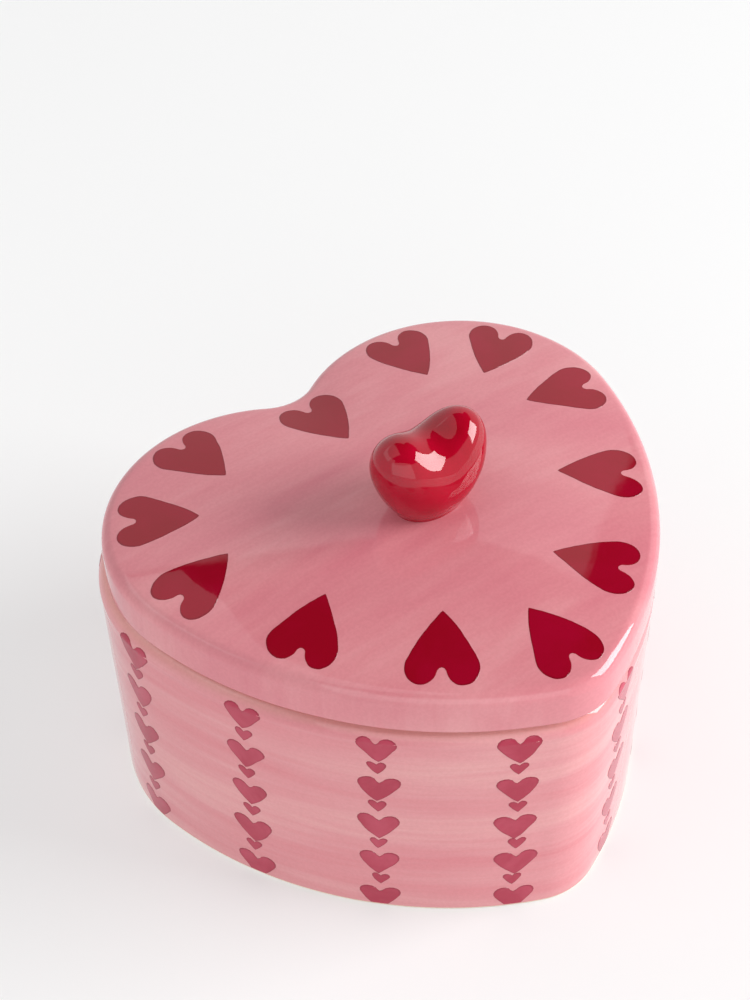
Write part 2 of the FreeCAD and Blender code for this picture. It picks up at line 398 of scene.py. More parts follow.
class NodeTree:
    """The node tree of a material or a world, with short ways to add to it."""

    def __init__(self, owner: bpy.types.Material | bpy.types.World, output: str) -> None:
        """Empty the owner's tree and give it an output.

        Args:
            owner: the material or world.
            output: kind of its output node.
        """
        owner.use_nodes = True
        self.tree = owner.node_tree
        self.tree.nodes.clear()
        self.output = self.add(output)

    def add(self, kind: str) -> bpy.types.Node:
        """Add a node of a kind."""
        return self.tree.nodes.new(kind)

    def link(self, output: bpy.types.NodeSocket, target: bpy.types.NodeSocket) -> None:
        """Join an output to an input."""
        self.tree.links.new(output, target)

    def ramp(
        self, value: bpy.types.NodeSocket, stops: Sequence[tuple[float, Colour]]
    ) -> bpy.types.NodeSocket:
        """Colours along a value.

        Args:
            value: the value to read.
            stops: places from 0 to 1 and their colours.

        Returns:
            The colour.
        """
        node = self.add("ShaderNodeValToRGB")
        elements = node.color_ramp.elements
        while len(elements) < len(stops):
            elements.new(0.5)
        for element, (place, colour) in zip(elements, stops):
            element.position = place
            element.color = (*colour, 1.0)
        self.link(value, node.inputs["Fac"])
        return node.outputs["Color"]

    def mix(
        self,
        share: float | bpy.types.NodeSocket,
        first: bpy.types.NodeSocket | Colour,
        second: bpy.types.NodeSocket | Colour,
        blend: str = "MIX",
    ) -> bpy.types.NodeSocket:
        """Mix two colours.

        Args:
            share: how much of the second colour.
            first: colour at share 0.
            second: colour at share 1.
            blend: the way the colours are mixed.

        Returns:
            The mixed colour.
        """
        node = self.add("ShaderNodeMix")
        node.data_type = "RGBA"
        node.blend_type = blend
        for value, socket in ((share, "Factor_Float"), (first, "A_Color"), (second, "B_Color")):
            target = next(item for item in node.inputs if item.identifier == socket)
            if isinstance(value, bpy.types.NodeSocket):
                self.link(value, target)
            elif isinstance(value, tuple):
                target.default_value = (*value, 1.0)
            else:
                target.default_value = value
        return next(item for item in node.outputs if item.identifier == "Result_Color")

    def math(
        self, operation: str, first: bpy.types.NodeSocket, second: float | bpy.types.NodeSocket
    ) -> bpy.types.NodeSocket:
        """Join two values.

        Args:
            operation: how they are joined, such as ADD or MULTIPLY.
            first: the first value.
            second: the second value, or a fixed number.

        Returns:
            The result.
        """
        node = self.add("ShaderNodeMath")
        node.operation = operation
        self.link(first, node.inputs[0])
        if isinstance(second, bpy.types.NodeSocket):
            self.link(second, node.inputs[1])
        else:
            node.inputs[1].default_value = second
        return node.outputs["Value"]

    def smooth_step(
        self, value: bpy.types.NodeSocket, low: float, high: float
    ) -> bpy.types.NodeSocket:
        """Turn a value into a soft step from 0 to 1.

        Args:
            value: the value to read.
            low: where the step starts.
            high: where it ends.

        Returns:
            The step's value.
        """
        node = self.add("ShaderNodeMapRange")
        node.interpolation_type = "SMOOTHSTEP"
        self.link(value, node.inputs["Value"])
        node.inputs["From Min"].default_value = low
        node.inputs["From Max"].default_value = high
        return node.outputs["Result"]


class NodeSheet(NodeTree):
    """A material with one shader, which reads object coordinates."""

    def __init__(self, name: str) -> None:
        """Start a material with a shader.

        Args:
            name: the material's name.
        """
        self.material = bpy.data.materials.new(name)
        super().__init__(self.material, "ShaderNodeOutputMaterial")
        self.shader = self.add("ShaderNodeBsdfPrincipled")
        self.link(self.shader.outputs["BSDF"], self.output.inputs["Surface"])
        self.place = self.add("ShaderNodeTexCoord").outputs["Object"]

    def stretched(self, scale: Colour, turn: float = 0.0) -> bpy.types.NodeSocket:
        """Object coordinates, turned about Z and then stretched.

        Args:
            scale: repeats per metre along each axis.
            turn: turn about Z, in degrees.

        Returns:
            The stretched coordinates.
        """
        mapping = self.add("ShaderNodeMapping")
        mapping.inputs["Rotation"].default_value[2] = math.radians(turn)
        mapping.inputs["Scale"].default_value = scale
        self.link(self.place, mapping.inputs["Vector"])
        return mapping.outputs["Vector"]

    def noise(
        self,
        where: bpy.types.NodeSocket,
        scale: float,
        detail: float,
        roughness: float = 0.5,
        warp: float = 0.0,
    ) -> bpy.types.NodeSocket:
        """Cloudy noise from 0 to 1.

        Args:
            where: coordinates.
            scale: how fine the noise is.
            detail: octaves of finer noise.
            roughness: strength of the finer octaves.
            warp: how far the noise bends its own coordinates.

        Returns:
            The noise's value.
        """
        node = self.add("ShaderNodeTexNoise")
        node.inputs["Scale"].default_value = scale
        node.inputs["Detail"].default_value = detail
        node.inputs["Roughness"].default_value = roughness
        node.inputs["Distortion"].default_value = warp
        self.link(where, node.inputs["Vector"])
        return node.outputs["Fac"]

    def bump(
        self, height: bpy.types.NodeSocket, depth: float, share: float, normal: str = "Normal"
    ) -> None:
        """Let a height ripple the shader's surface or its coat.

        Args:
            height: the height, from 0 to 1.
            depth: depth of the ripple, in metres.
            share: strength of the ripple.
            normal: the shader's input that gets the ripple.
        """
        node = self.add("ShaderNodeBump")
        node.inputs["Strength"].default_value = share
        node.inputs["Distance"].default_value = depth
        self.link(height, node.inputs["Height"])
        self.link(node.outputs["Normal"], self.shader.inputs[normal])


@dataclass(frozen=True)
class ClearGlaze:
    """The clear gloss over every fired colour.

    Attributes:
        roughness: how hazy the glaze's own gloss is.
        under: how hazy the colour below it is.
        ripple: depth of the glaze's orange-peel ripple.
    """

    roughness: float = 0.035
    under: float = 0.5
    ripple: float = 0.012 * MM

    def pour(self, sheet: NodeSheet) -> None:
        """Lay the glaze over a colour.

        Args:
            sheet: the material that gets it.
        """
        shader = sheet.shader
        shader.inputs["Roughness"].default_value = self.under
        shader.inputs["Specular IOR Level"].default_value = 0.0
        shader.inputs["Coat Weight"].default_value = 1.0
        shader.inputs["Coat Roughness"].default_value = self.roughness
        shader.inputs["Coat IOR"].default_value = 1.5
        sheet.bump(sheet.noise(sheet.place, 260.0, 2.0), self.ripple, 0.6, "Coat Normal")


class Stroke(Enum):
    """Which way the brush went when a ground was laid."""

    ROUND_THE_WALL = "wall"
    ACROSS_THE_LID = "lid"


@dataclass(frozen=True)
class BrushedPink:
    """A pink ground, laid by hand with a wide brush.

    Attributes:
        stroke: which way the brush went.
        deep: colour where it lies thick.
        even: colour where it lies even.
        thin: peach colour where the clay shows through.
        pooled: colour where it has run thin over the vessel's shoulder.
        glaze: the gloss over it.
    """

    stroke: Stroke
    deep: Colour = (0.62, 0.185, 0.225)
    even: Colour = (0.66, 0.23, 0.26)
    thin: Colour = (0.70, 0.29, 0.31)
    pooled: Colour = (0.66, 0.34, 0.25)
    glaze: ClearGlaze = field(default_factory=ClearGlaze)

    def material(self) -> bpy.types.Material:
        """Mix the ground.

        Returns:
            The material.
        """
        sheet = NodeSheet(f"brushed_pink_{self.stroke.value}")
        if self.stroke is Stroke.ROUND_THE_WALL:
            broad = sheet.noise(sheet.stretched((9.0, 9.0, 75.0)), 1.0, 3.0, 0.55, 0.6)
            fine = sheet.noise(sheet.stretched((30.0, 30.0, 700.0)), 1.0, 4.0, 0.65)
        else:
            broad = sheet.noise(sheet.stretched((12.0, 34.0, 20.0), 28.0), 1.0, 3.0, 0.5, 0.8)
            fine = sheet.noise(sheet.stretched((60.0, 420.0, 60.0), 12.0), 1.0, 4.0, 0.65)
        speck = sheet.noise(sheet.place, 1500.0, 2.0)
        coats = sheet.math(
            "ADD", sheet.math("MULTIPLY", broad, 0.75), sheet.math("MULTIPLY", fine, 0.25)
        )
        ground = sheet.ramp(coats, ((0.34, self.deep), (0.5, self.even), (0.66, self.thin)))
        if self.stroke is Stroke.ROUND_THE_WALL:
            split = sheet.add("ShaderNodeSeparateXYZ")
            sheet.link(sheet.place, split.inputs["Vector"])
            pooled = sheet.smooth_step(split.outputs["Z"], 56.0 * MM, 58.2 * MM)
            ground = sheet.mix(sheet.math("MULTIPLY", pooled, 0.4), ground, self.pooled)
        grain = sheet.ramp(speck, ((0.35, (0.955, 0.945, 0.945)), (0.65, (1.0, 1.0, 1.0))))
        colour = sheet.mix(1.0, ground, grain, "MULTIPLY")
        sheet.link(colour, sheet.shader.inputs["Base Color"])
        self.glaze.pour(sheet)
        return sheet.material


@dataclass(frozen=True)
class BareClay:
    """Unglazed fired clay, as on the foot.

    Attributes:
        colour: colour of the fired clay.
    """

    colour: Colour = (0.80, 0.66, 0.52)

    def material(self) -> bpy.types.Material:
        """Mix the clay.

        Returns:
            The material.
        """
        sheet = NodeSheet("bare_clay")
        cloud = sheet.noise(sheet.place, 90.0, 4.0)
        grog = sheet.noise(sheet.place, 1800.0, 3.0)
        shade = sheet.ramp(cloud, ((0.3, tuple(0.86 * c for c in self.colour)), (0.7, self.colour)))
        dust = sheet.ramp(grog, ((0.3, (0.88, 0.86, 0.84)), (0.6, (1.0, 1.0, 1.0))))
        sheet.link(sheet.mix(1.0, shade, dust, "MULTIPLY"), sheet.shader.inputs["Base Color"])
        sheet.shader.inputs["Roughness"].default_value = 0.85
        sheet.bump(grog, 0.03 * MM, 0.7)
        return sheet.material


@dataclass(frozen=True)
class HeartPaint:
    """Underglaze paint of the hearts, darker where it pools at their edges.

    Attributes:
        name: name of the material.
        body: colour of a full brush.
        pool: colour at the rim.
        worn: colour where the brush ran dry.
        streaks: repeats of the brush marks per metre along each axis.
        glaze: the gloss over it.
    """

    name: str
    body: Colour
    pool: Colour
    worn: Colour
    streaks: Colour = (60.0, 60.0, 60.0)
    glaze: ClearGlaze = field(default_factory=ClearGlaze)

    def material(self) -> bpy.types.Material:
        """Mix the paint.

        Returns:
            The material.
        """
        sheet = NodeSheet(self.name)
        brush = sheet.noise(sheet.stretched(self.streaks), 1.0, 4.0, 0.6, 0.5)
        film = sheet.ramp(brush, ((0.42, self.body), (0.72, self.worn)))
        rim = sheet.add("ShaderNodeAttribute")
        rim.attribute_name = "rim"
        colour = sheet.mix(rim.outputs["Fac"], film, self.pool)
        sheet.link(colour, sheet.shader.inputs["Base Color"])
        self.glaze.pour(sheet)
        return sheet.material


@dataclass(frozen=True)
class RedGlaze:
    """The knob's deep red gloss.

    Attributes:
        deep: colour where it lies thick.
        bright: colour where it lies thin.
        glaze: the clear gloss over it.
    """

    deep: Colour = (0.30, 0.0, 0.008)
    bright: Colour = (0.42, 0.0, 0.02)
    glaze: ClearGlaze = field(default_factory=lambda: ClearGlaze(roughness=0.02, ripple=0.006 * MM))

    def material(self) -> bpy.types.Material:
        """Mix the glaze.

        Returns:
            The material.
        """
        sheet = NodeSheet("red_glaze")
        flow = sheet.noise(sheet.stretched((120.0, 120.0, 45.0)), 1.0, 3.0)
        colour = sheet.ramp(flow, ((0.3, self.deep), (0.7, self.bright)))
        sheet.link(colour, sheet.shader.inputs["Base Color"])
        self.glaze.pour(sheet)
        return sheet.material


# ------------------------------------------------------------------ the pieces


@dataclass
class Vessel:
    """The slip-cast body: wall, shoulder, hollow and foot.

    Attributes:
        outline: outline of the lid, from which every inset is taken.
        overhang: how far the wall stands out past the lid.
        taper: how far the wall leans in from shoulder to foot.
        wall: wall thickness at the rim.
        inner_taper: extra wall thickness at the floor.
        floor: thickness of the floor.
        floor_round: round between the floor and the wall, inside.
        shoulder: round between the wall and the rim, outside.
        lip: round between the rim and the hollow.
        foot_round: round at the outside of the foot.
        foot_width: width of the foot that the box stands on.
        recess: depth of the hollow under the foot.
    """

    outline: HeartOutline
    overhang: float = 0.76 * MM
    taper: float = 1.7 * MM
    wall: float = 5.5 * MM
    inner_taper: float = 1.4 * MM
    floor: float = 6.5 * MM
    floor_round: float = 7.0 * MM
    shoulder: float = 3.7 * MM
    lip: float = 1.2 * MM
    foot_round: float = 0.7 * MM
    foot_width: float = 7.0 * MM
    recess: float = 1.5 * MM

    def __post_init__(self) -> None:
        """Read the rim's height from the frame."""
        self.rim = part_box("box_body")[1].z
        self.surface: BVHTree | None = None

    def wall_inset(self, height: float) -> float:
        """Inset of the outer wall at a height."""
        return self.taper * (1.0 - height / self.rim) - self.overhang

    def profile(self) -> Profile:
        """The cross-section, from under the foot round to the floor inside."""
        foot = self.wall_inset(0.0)
        ring = foot + self.foot_width
        mouth = self.wall - self.overhang
        line = Profile(Station(ring, self.recess, 0.0))
        line.line(ring, self.recess, steps=8)
        line.line(ring, 0.4 * MM, steps=2)
        line.bend((ring - 0.4 * MM, 0.4 * MM), (0.4 * MM, 0.4 * MM), (0, -90), 3)
        line.line(foot + self.foot_round, 0.0, steps=4)
        line.bend(
            (foot + self.foot_round, self.foot_round),
            (self.foot_round, self.foot_round),
            (-90, -180),
            5,
        )
        wall_top = self.rim - self.shoulder
        line.line(self.wall_inset(wall_top), wall_top, steps=34)
        line.bend(
            (self.shoulder - self.overhang, wall_top), (self.shoulder, self.shoulder), (180, 90), 12
        )
        line.line(mouth - self.lip, self.rim, steps=2)
        line.bend((mouth - self.lip, self.rim - self.lip), (self.lip, self.lip), (90, 0), 6)
        inner_foot = mouth + self.inner_taper
        line.line(inner_foot, self.floor + self.floor_round, steps=16)
        line.bend(
            (inner_foot + self.floor_round, self.floor + self.floor_round),
            (self.floor_round, self.floor_round),
            (-180, -90),
            10,
        )
        line.line(inner_foot + self.floor_round, self.floor, 0.0, steps=12)
        return line

    def build(self, finishes: Sequence[bpy.types.Material]) -> bpy.types.Object:
        """Build the vessel.

        Args:
            finishes: the pink ground and the bare clay of the foot.

        Returns:
            The piece.
        """
        skin = heart_skin(self.outline, self.profile(), Vector())
        make_uneven(skin, 0.1 * MM, 32 * MM)
        for face in skin.faces:
            if face.calc_center_median().z < 0.62 * MM:
                face.material_index = 1
        self.surface = BVHTree.FromBMesh(skin)
        piece = finish_piece("vessel", skin, "box", finishes)
        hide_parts("box_body")
        return piece


@dataclass
class Lid:
    """The domed lid with its locating flange.

    Attributes:
        outline: outline of the lid.
        flange_inset: how far the locating flange stands in from the edge.
        flange_wall: thickness of the flange.
        flange_depth: how far the flange reaches down into the vessel.
        foot_round: round at the bottom of the lid's edge.
        side: height where the upright edge turns into its round.
        round_in: half-axis of the edge's round, sideways.
        round_up: half-axis of the edge's round, upwards.
        turn: where the edge's round meets the dome, in degrees.
        rise: how far the dome rises above its own foot.
        shell: thickness of the dome.
        dome_rings: how many rings the dome has.
    """

    outline: HeartOutline
    flange_inset: float = 6.04 * MM
    flange_wall: float = 3.0 * MM
    flange_depth: float = 5.0 * MM
    foot_round: float = 0.9 * MM
    side: float = 7.2 * MM
    round_in: float = 3.0 * MM
    round_up: float = 3.0 * MM
    turn: float = 80.0
    rise: float = 3.9 * MM
    shell: float = 4.6 * MM
    dome_rings: int = 34

    def __post_init__(self) -> None:
        """Read the lid's place from the frame."""
        low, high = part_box("lid")
        self.seat = low.z + self.flange_depth
        self.axis = Vector(((low.x + high.x) / 2, (low.y + high.y) / 2, 0.0))
        self.dome_inset = self.round_in * (1 - math.cos(math.radians(self.turn)))
        self.dome_foot = self.seat + self.side + self.round_up * math.sin(math.radians(self.turn))
        self.surface: BVHTree | None = None

    @property
    def top(self) -> float:
        """Height of the middle of the dome."""
        return self.dome_foot + self.rise

    def dome(self, scale: float, below: float = 0.0) -> Station:
        """Ring of the dome.

        Args:
            scale: how far out, from 0 at the middle to 1 at the edge.
            below: depth below the outer surface.

        Returns:
            The ring.
        """
        height = self.dome_foot + self.rise * (1 - scale**2) - below
        settle = min(1.0, max(0.0, (1.0 - scale) / 0.75))
        roundness = settle * settle * (3 - 2 * settle)
        return Station(self.dome_inset, height, scale, roundness)

    def profile(self) -> Profile:
        """The cross-section, from the top of the dome round to its underside."""
        line = Profile(self.dome(0.0))
        steps = self.dome_rings
        line.stations += [self.dome(step / steps) for step in range(1, steps + 1)]
        line.bend(
            (self.round_in, self.seat + self.side),
            (self.round_in, self.round_up),
            (180 - self.turn, 180),
            14,
        )
        line.line(0.0, self.seat + self.foot_round, steps=2)
        line.bend(
            (self.foot_round, self.seat + self.foot_round),
            (self.foot_round, self.foot_round),
            (180, 270),
            6,
        )
        line.line(self.flange_inset - 0.5 * MM, self.seat, steps=4)
        line.bend(
            (self.flange_inset - 0.5 * MM, self.seat - 0.5 * MM), (0.5 * MM, 0.5 * MM), (90, 0), 3
        )
        low = self.seat - self.flange_depth
        nose = 0.8 * MM
        line.line(self.flange_inset, low + nose, steps=3)
        line.bend((self.flange_inset + nose, low + nose), (nose, nose), (180, 270), 4)
        inner = self.flange_inset + self.flange_wall
        line.line(inner - nose, low, steps=1)
        line.bend((inner - nose, low + nose), (nose, nose), (270, 360), 4)
        ceiling = self.dome_foot - self.shell
        reach = 2.5 * MM
        line.line(inner, ceiling - reach, steps=4)
        line.bend((inner + reach, ceiling - reach), (reach, reach), (180, 110), 6)
        for step in range(21):
            ring = self.dome(UNDERSIDE_SHARE * (1 - step / 20), self.shell)
            scale = ring.scale / UNDERSIDE_SHARE
            line.stations.append(Station(inner + reach, ring.height, scale, ring.roundness))
        return line

    def build(self, finish: bpy.types.Material) -> bpy.types.Object:
        """Build the lid.

        Args:
            finish: the pink ground.

        Returns:
            The piece.
        """
        skin = heart_skin(self.outline, self.profile(), self.axis)
        make_uneven(skin, 0.12 * MM, 30 * MM)
        self.surface = BVHTree.FromBMesh(skin)
        piece = finish_piece("lid_shell", skin, "lid", [finish])
        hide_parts("lid")
        return piece


@dataclass
class Knob:
    """The puffy upright heart that the lid is lifted by.

    Attributes:
        lid: the lid that it is luted to.
        waist: height of its widest place above the lid.
        crest: height of its lobes.
        crest_share: where the crests lie, as a share of half its width.
        valley: height of the cleft.
        sink: how far the whole heart would reach into the lid.
        skirt: how far the glaze gathers out where the knob meets the lid.
    """

    lid: Lid
    waist: float = 14.2 * MM
    crest: float = 20.3 * MM
    crest_share: float = 0.565
    valley: float = 18.3 * MM
    sink: float = 1.5 * MM
    skirt: float = 1.3 * MM

    def __post_init__(self) -> None:
        """Read the knob's box from the frame."""
        low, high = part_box("knob")
        self.middle = Vector(((low.x + high.x) / 2, (low.y + high.y) / 2, high.z - self.crest))
        self.half_width = (high.x - low.x) / 2 * 1.03
        self.half_depth = (high.y - low.y) / 2

    def place(self, across: float, along: float) -> Vector:
        """Point of the knob's skin.

        Args:
            across: share of the way from its left end to its right end.
            along: share of the way round it.

        Returns:
            The point.
        """
        lean = math.pi * (across - 0.5)
        out = math.sin(lean)
        share = abs(out)
        if share < self.crest_share:
            blend = (1 - math.cos(math.pi * share / self.crest_share)) / 2
            top = self.valley + (self.crest - self.valley) * blend
        else:
            beyond = (share - self.crest_share) / (1 - self.crest_share)
            top = self.waist + (self.crest - self.waist) * math.sqrt(max(0.0, 1 - beyond**2))
        bottom = self.waist - (self.waist + self.sink) * max(0.0, 1 - share**2.6) ** 0.62
        depth = self.half_depth * math.sqrt(max(0.0, 1 - share**2.4))
        turn = 2 * math.pi * along
        point = Vector(
            (
                self.half_width * out,
                -depth * math.sin(turn),
                (top + bottom) / 2 - (top - bottom) / 2 * math.cos(turn),
            )
        )
        # the glaze gathers where the knob meets the lid
        if point.z < 3 * MM:
            spread = Vector((point.x, point.y, 0.0))
            if spread.length > 0:
                gather = self.skirt * math.exp(-max(point.z, 0.0) / (0.9 * MM))
                point += spread.normalized() * gather
        point.z = max(point.z, -0.6 * MM)
        return point + self.middle

    def build(self, finish: bpy.types.Material) -> bpy.types.Object:
        """Build the knob.

        Args:
            finish: the red gloss.

        Returns:
            The piece.
        """
        skin = grid(96, 96, self.place)
        make_uneven(skin, 0.1 * MM, 8 * MM)
        piece = finish_piece("heart_knob", skin, "lid", [finish])
        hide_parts("knob")
        return piece


@dataclass(frozen=True)
class PaintedHeart:
    """One heart laid with a brush: a small outline with a wobble of its own.

    Attributes:
        width: width over both lobes.
        length: length from its tip to its lobes.
        seed: picks the wobble.
        wobble: how far the edge strays.
        points: how many points its edge has.
    """

    width: float
    length: float
    seed: int
    wobble: float = 0.02
    points: int = 48

    @property
    def outline(self) -> HeartOutline:
        """The heart's plain outline, 2 wide."""
        return HeartOutline(
            lobe_x=0.555,
            lobe_y=0.38,
            lobe_radius=0.445,
            notch_radius=0.13,
            side_radius=5.0,
            tip_radius=0.03,
            tip_y=-1.03,
        )

    def at(self, way: float, out: float) -> Vector:
        """Point of the heart's flat shape.

        Args:
            way: how far round its edge.
            out: 0 at its middle, 1 at its edge.

        Returns:
            The point, with the tip towards -Y.
        """
        edge = self.outline.at(way)
        stray = Vector((edge.x, edge.y, 5.3 * self.seed))
        broad, fine = noise.noise(stray * 1.1), noise.noise(stray * 6)
        edge.x += self.wobble * 2 * broad + self.wobble * 0.4 * fine
        edge.y += self.wobble * 2 * noise.noise(stray * 1.1 + UP * 40)
        edge.y += self.wobble * 0.4 * noise.noise(stray * 6 + UP * 40)
        lean = 4 * self.wobble * noise.noise(Vector((0.3, 0.7, 9.1 * self.seed)))
        edge.x += lean * edge.y
        point = edge * out
        return Vector((point.x * self.width / 2, point.y * self.length / PLAIN_LENGTH, 0.0))


@dataclass
class PaintLayer:
    """Hearts of one colour, laid on a skin of clay.

    Attributes:
        film: how thick the paint stands.
        rings: how many rings of faces lie between a heart's middle and its edge.
    """

    film: float = 0.035 * MM
    rings: int = 18

    def lay(
        self,
        layer: bmesh.types.BMesh,
        heart: PaintedHeart,
        settle: Callable[[Vector], tuple[Vector, Vector]],
    ) -> None:
        """Lay one heart.

        Args:
            layer: the mesh that gets the heart.
            heart: the heart to lay.
            settle: turns a point of the flat heart into a point and a normal
                of the clay.
        """
        rim = layer.verts.layers.float.get("rim") or layer.verts.layers.float.new("rim")
        stops = [step / self.rings for step in range(self.rings + 1)]
        stops.append(1.0 + EDGE_SINK / heart.width)
        rows = len(stops) - 1
        edge = set()
        made = bmesh.ops.create_grid(layer, x_segments=heart.points, y_segments=rows, size=0.5)
        for vertex in made["verts"]:
            ring = round((vertex.co.y + 0.5) * rows)
            point, normal = settle(heart.at(vertex.co.x + 0.5, stops[ring]))
            vertex[rim] = 1.0 if ring >= rows - 1 else 0.0
            if ring == rows - 1:
                edge.add(vertex)
            lift = -0.5 * self.film if ring == rows else self.film
            vertex.co = point + normal * lift
        for vertex in edge:
            for line in vertex.link_edges:
                line.smooth = line.other_vert(vertex) not in edge
        bmesh.ops.remove_doubles(layer, verts=made["verts"], dist=0.005 * MM)


def nearest(surface: BVHTree, point: Vector) -> tuple[Vector, Vector]:
    """Nearest point of a skin.

    Args:
        surface: the skin.
        point: the point to start from.

    Returns:
        The point on the skin and the face's normal there.
    """
    where, normal, _, _ = surface.find_nearest(point)
    return where, normal


@dataclass
class LidHearts:
    """The ring of large hearts on the lid, evenly spaced, their tips inwards.

    Attributes:
        lid: the lid that they are painted on.
        count: how many hearts there are, the first of them in the notch.
        inset: how far in from the lid's edge their middles are.
        width: width of a heart.
        length: length of a heart, to its tip.
    """

    lid: Lid
    count: int = 12
    inset: float = 11.0 * MM
    width: float = 14.5 * MM
    length: float = 17.0 * MM

    def build(self, finish: bpy.types.Material) -> list[bpy.types.Object]:
        """Lay the hearts.

        Args:
            finish: the crimson paint.

        Returns:
            One piece for each heart.
        """
        pieces = []
        paint = PaintLayer()
        for number in range(self.count):
            way = 0.5 - number / self.count
            middle = self.lid.outline.at(way, self.inset) + self.lid.axis
            out = self.lid.outline.outward(way)
            turn = Matrix.Rotation(math.atan2(-out.x, out.y), 3, "Z")
            high = self.lid.top + 50 * MM

            def settle(flat: Vector) -> tuple[Vector, Vector]:
                """Drop a point of the flat heart straight down onto the lid."""
                over = middle + turn @ flat + UP * high
                where, normal, _, _ = self.lid.surface.ray_cast(over, -UP)
                if where is None:
                    return nearest(self.lid.surface, over - UP * high + UP * self.lid.seat)
                return where, normal

            layer = bmesh.new()
            heart = PaintedHeart(self.width, self.length, number + 1, points=96)
            paint.lay(layer, heart, settle)
            bmesh.ops.recalc_face_normals(layer, faces=layer.faces)
            name = f"lid_heart_{number + 1:02d}"
            pieces.append(finish_piece(name, layer, "lid", [finish]))
        return pieces


@dataclass
class WallHearts:
    """Columns of hearts down the wall, large and small by turns.

    Attributes:
        vessel: the vessel that they are painted on.
        columns: how many columns there are, one of them in the notch.
        top: height of the middle of the topmost heart.
        pitch: how far apart the large hearts are.
        large: width and length of a large heart.
        small: width and length of a small heart.
    """

    vessel: Vessel
    columns: int = 13
    top: float = 53.8 * MM
    pitch: float = 12.45 * MM
    large: tuple[float, float] = (8.6 * MM, 7.6 * MM)
    small: tuple[float, float] = (3.9 * MM, 3.6 * MM)

    def build(self, finish: bpy.types.Material) -> list[bpy.types.Object]:
        """Lay the columns.

        Args:
            finish: the raspberry paint.

        Returns:
            One piece for each column.
        """
        return [self.column(number, finish) for number in range(self.columns)]

    def column(self, number: int, finish: bpy.types.Material) -> bpy.types.Object:
        """Lay one column of hearts.

        Args:
            number: which column, counted from the notch.
            finish: the raspberry paint.

        Returns:
            The piece.
        """
        layer = bmesh.new()
        outline = self.vessel.outline
        start = 0.5 + number / self.columns
        length = 2 * outline.half_length
        for step in range(9):
            large = step % 2 == 0
            size = self.large if large else self.small
            seed = 20 * number + step
            drift = 0.5 * MM * noise.noise(Vector((3.7 * seed, 1.1, 0.4)))
            height = self.top - self.pitch * step / 2 - (0.4 * MM if large else 0.0)
            grow = 1.0 + 0.1 * noise.noise(Vector((1.9 * seed, 4.2, 7.7)))
            heart = PaintedHeart(size[0] * grow, size[1] * grow, seed, 0.035, 32 if large else 20)

            def settle(flat: Vector) -> tuple[Vector, Vector]:
                """Wrap a point of the flat heart round the wall."""
                way = start + (flat.x + drift) / length
                point = outline.at(way, self.vessel.wall_inset(height)) + UP * (height + flat.y)
                return nearest(self.vessel.surface, point)

            PaintLayer(0.055 * MM, 10 if large else 5).lay(layer, heart, settle)
        bmesh.ops.bisect_plane(
            layer,
            geom=[*layer.verts, *layer.edges, *layer.faces],
            plane_co=UP * 0.9 * MM,
            plane_no=UP,
            clear_inner=True,
        )
        bmesh.ops.recalc_face_normals(layer, faces=layer.faces)
        return finish_piece(f"wall_hearts_{number + 1:02d}", layer, "box", [finish])


# ----------------------------------------------------------------- the studio


@dataclass(frozen=True)
class Softbox:
    """A soft square light.

    Attributes:
        name: name of the light.
        place: where it hangs.
        size: its two sides.
        power: its power in watts.
        aim: the point that it faces.
        turn: turn about its own axis, in degrees.
    """

    name: str
    place: tuple[float, float, float]
    size: tuple[float, float]
    power: float
    aim: tuple[float, float, float] = (0.0, 0.0, 0.03)
    turn: float = 0.0

    def hang(self) -> bpy.types.Object:
        """Hang the light, aimed at the box.

        Returns:
            The light.
        """
        light = bpy.data.lights.new(self.name, "AREA")
        light.shape = "RECTANGLE"
        light.size, light.size_y = self.size
        light.energy = self.power
        lamp = bpy.data.objects.new(self.name, light)
        bpy.context.scene.collection.objects.link(lamp)
        lamp.location = self.place
        towards = Vector(self.aim) - Vector(self.place)
        lamp.rotation_euler = towards.to_track_quat("-Z", "Y").to_euler()
        lamp.rotation_euler.rotate_axis("Z", math.radians(self.turn))
        return lamp


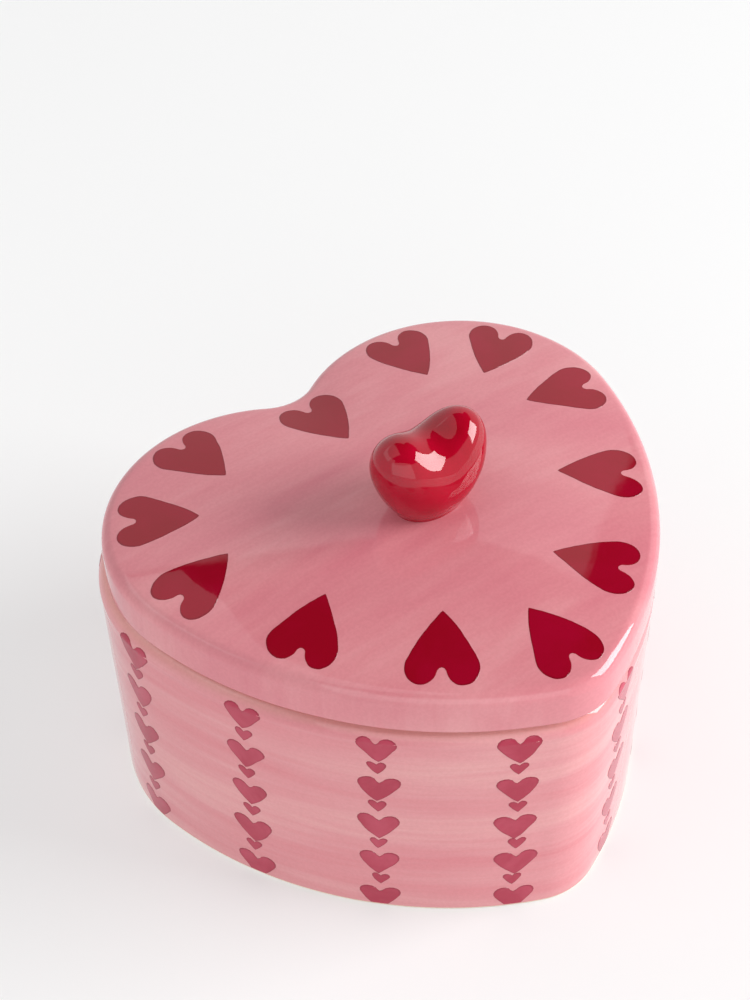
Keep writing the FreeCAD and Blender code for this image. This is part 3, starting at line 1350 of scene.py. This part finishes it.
@dataclass
class Studio:
    """A pale table, soft lights and the camera.

    Attributes:
        azimuth: where the camera stands, in degrees round from the front.
        elevation: how far it looks down, in degrees.
        roll: how far it leans, in degrees.
        distance: how far it stands from its target.
        target: the point that it looks at.
        lens: focal length, in millimetres.
        lights: the soft lights.
        screen_edge: direction from the box past the pale screen's right end.
    """

    azimuth: float = -35.55
    elevation: float = 44.19
    roll: float = -1.03
    distance: float = 536.6 * MM
    target: tuple[float, float, float] = (22.17 * MM, 46.61 * MM, 25.0 * MM)
    lens: float = 82.25
    lights: tuple[Softbox, ...] = (
        Softbox("key_right", (1.05, -0.75, 0.7), (0.9, 0.8), 24.0),
        Softbox("panel_above", (-0.6, 0.43, 1.0), (1.3, 1.15), 3.6, (-0.6, 0.43, 0.0), -17.5),
        Softbox("fill_front", (-0.8, -1.2, 0.6), (1.8, 1.2), 6.0),
    )
    screen_edge: tuple[float, float, float] = (0.53, -0.85, 0.0)

    def table(self) -> bpy.types.Object:
        """Lay the pale table.

        Returns:
            The table.
        """
        top = bmesh.new()
        bmesh.ops.create_grid(top, x_segments=1, y_segments=1, size=3.0)
        mesh = bpy.data.meshes.new("table")
        top.to_mesh(mesh)
        top.free()
        table = bpy.data.objects.new("table", mesh)
        bpy.context.scene.collection.objects.link(table)
        sheet = NodeSheet("pale_table")
        settings = {
            "Base Color": (0.5, 0.5, 0.5, 1.0),
            "Emission Color": (1.0, 1.0, 1.0, 1.0),
            "Emission Strength": 0.42,
            "Roughness": 0.6,
            "Specular IOR Level": 0.2,
        }
        for name, value in settings.items():
            sheet.shader.inputs[name].default_value = value
        mesh.materials.append(sheet.material)
        return table

    def sky(self) -> None:
        """Surround the set with pale walls under a dark ceiling.

        A tall pale screen stands behind the box and ends at its right; past
        the screen the walls are lower.
        """
        world = bpy.data.worlds.new("room")
        bpy.context.scene.world = world
        room = NodeTree(world, "ShaderNodeOutputWorld")
        place = room.add("ShaderNodeTexCoord").outputs["Generated"]
        split = room.add("ShaderNodeSeparateXYZ")
        room.link(place, split.inputs["Vector"])
        height = split.outputs["Z"]
        greys = ((0.0, 0.75), (0.74, 0.8), (0.75, 0.05), (1.0, 0.05))
        walls = room.ramp(height, [(stop, (grey, grey, grey)) for stop, grey in greys])
        past = room.add("ShaderNodeVectorMath")
        past.operation = "DOT_PRODUCT"
        room.link(place, past.inputs[0])
        past.inputs[1].default_value = self.screen_edge
        gap = room.math(
            "MULTIPLY",
            room.smooth_step(past.outputs["Value"], -0.01, 0.01),
            room.smooth_step(height, 0.52, 0.58),
        )
        glow = room.add("ShaderNodeBackground")
        room.link(room.mix(gap, walls, (0.05, 0.05, 0.05)), glow.inputs["Color"])
        glow.inputs["Strength"].default_value = 1.08
        room.link(glow.outputs["Background"], room.output.inputs["Surface"])

    def camera(self) -> bpy.types.Object:
        """Set up the camera.

        Returns:
            The camera.
        """
        turn = math.radians(self.azimuth)
        tilt = math.radians(self.elevation)
        back = Vector(
            (math.sin(turn) * math.cos(tilt), -math.cos(turn) * math.cos(tilt), math.sin(tilt))
        )
        right = Vector((math.cos(turn), math.sin(turn), 0.0))
        above = back.cross(right)
        lean = math.radians(self.roll)
        side = right * math.cos(lean) + above * math.sin(lean)
        above = back.cross(side)
        data = bpy.data.cameras.new("camera")
        data.lens = self.lens
        data.clip_start = 0.01
        camera = bpy.data.objects.new("camera", data)
        bpy.context.scene.collection.objects.link(camera)
        rows = Matrix((side, above, back)).transposed().to_4x4()
        camera.matrix_world = Matrix.Translation(Vector(self.target) + back * self.distance) @ rows
        bpy.context.scene.camera = camera
        return camera

    def build(self) -> None:
        """Set the table, the lights, the room and the camera."""
        self.table()
        self.sky()
        for light in self.lights:
            light.hang()
        self.camera()
        bpy.context.scene.view_settings.view_transform = "Standard"


def main() -> None:
    """Build the box and its studio."""
    logging.basicConfig(level=logging.INFO, format="%(name)s: %(message)s")
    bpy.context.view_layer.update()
    outline = HeartOutline()
    vessel = Vessel(outline)
    # the wall's pink is a lighter copy of the lid's pink: painted light, standing in for the light
    # that falls on the front wall
    wall_pink_painted_lighter = BrushedPink(
        Stroke.ROUND_THE_WALL, (0.66, 0.21, 0.24), (0.69, 0.275, 0.295), (0.74, 0.36, 0.36)
    )
    vessel.build([wall_pink_painted_lighter.material(), BareClay().material()])
    lid = Lid(outline)
    lid.build(BrushedPink(Stroke.ACROSS_THE_LID).material())
    Knob(lid).build(RedGlaze().material())
    crimson = HeartPaint("crimson_paint", (0.27, 0.0, 0.01), (0.2, 0.0, 0.01), (0.31, 0.0, 0.018))
    raspberry = HeartPaint(
        "raspberry_paint", (0.38, 0.01, 0.045), (0.28, 0.004, 0.03), (0.50, 0.05, 0.10)
    )
    LidHearts(lid).build(crimson.material())
    WallHearts(vessel).build(raspberry.material())
    Studio().build()


if __name__ == "__main__":
    main()
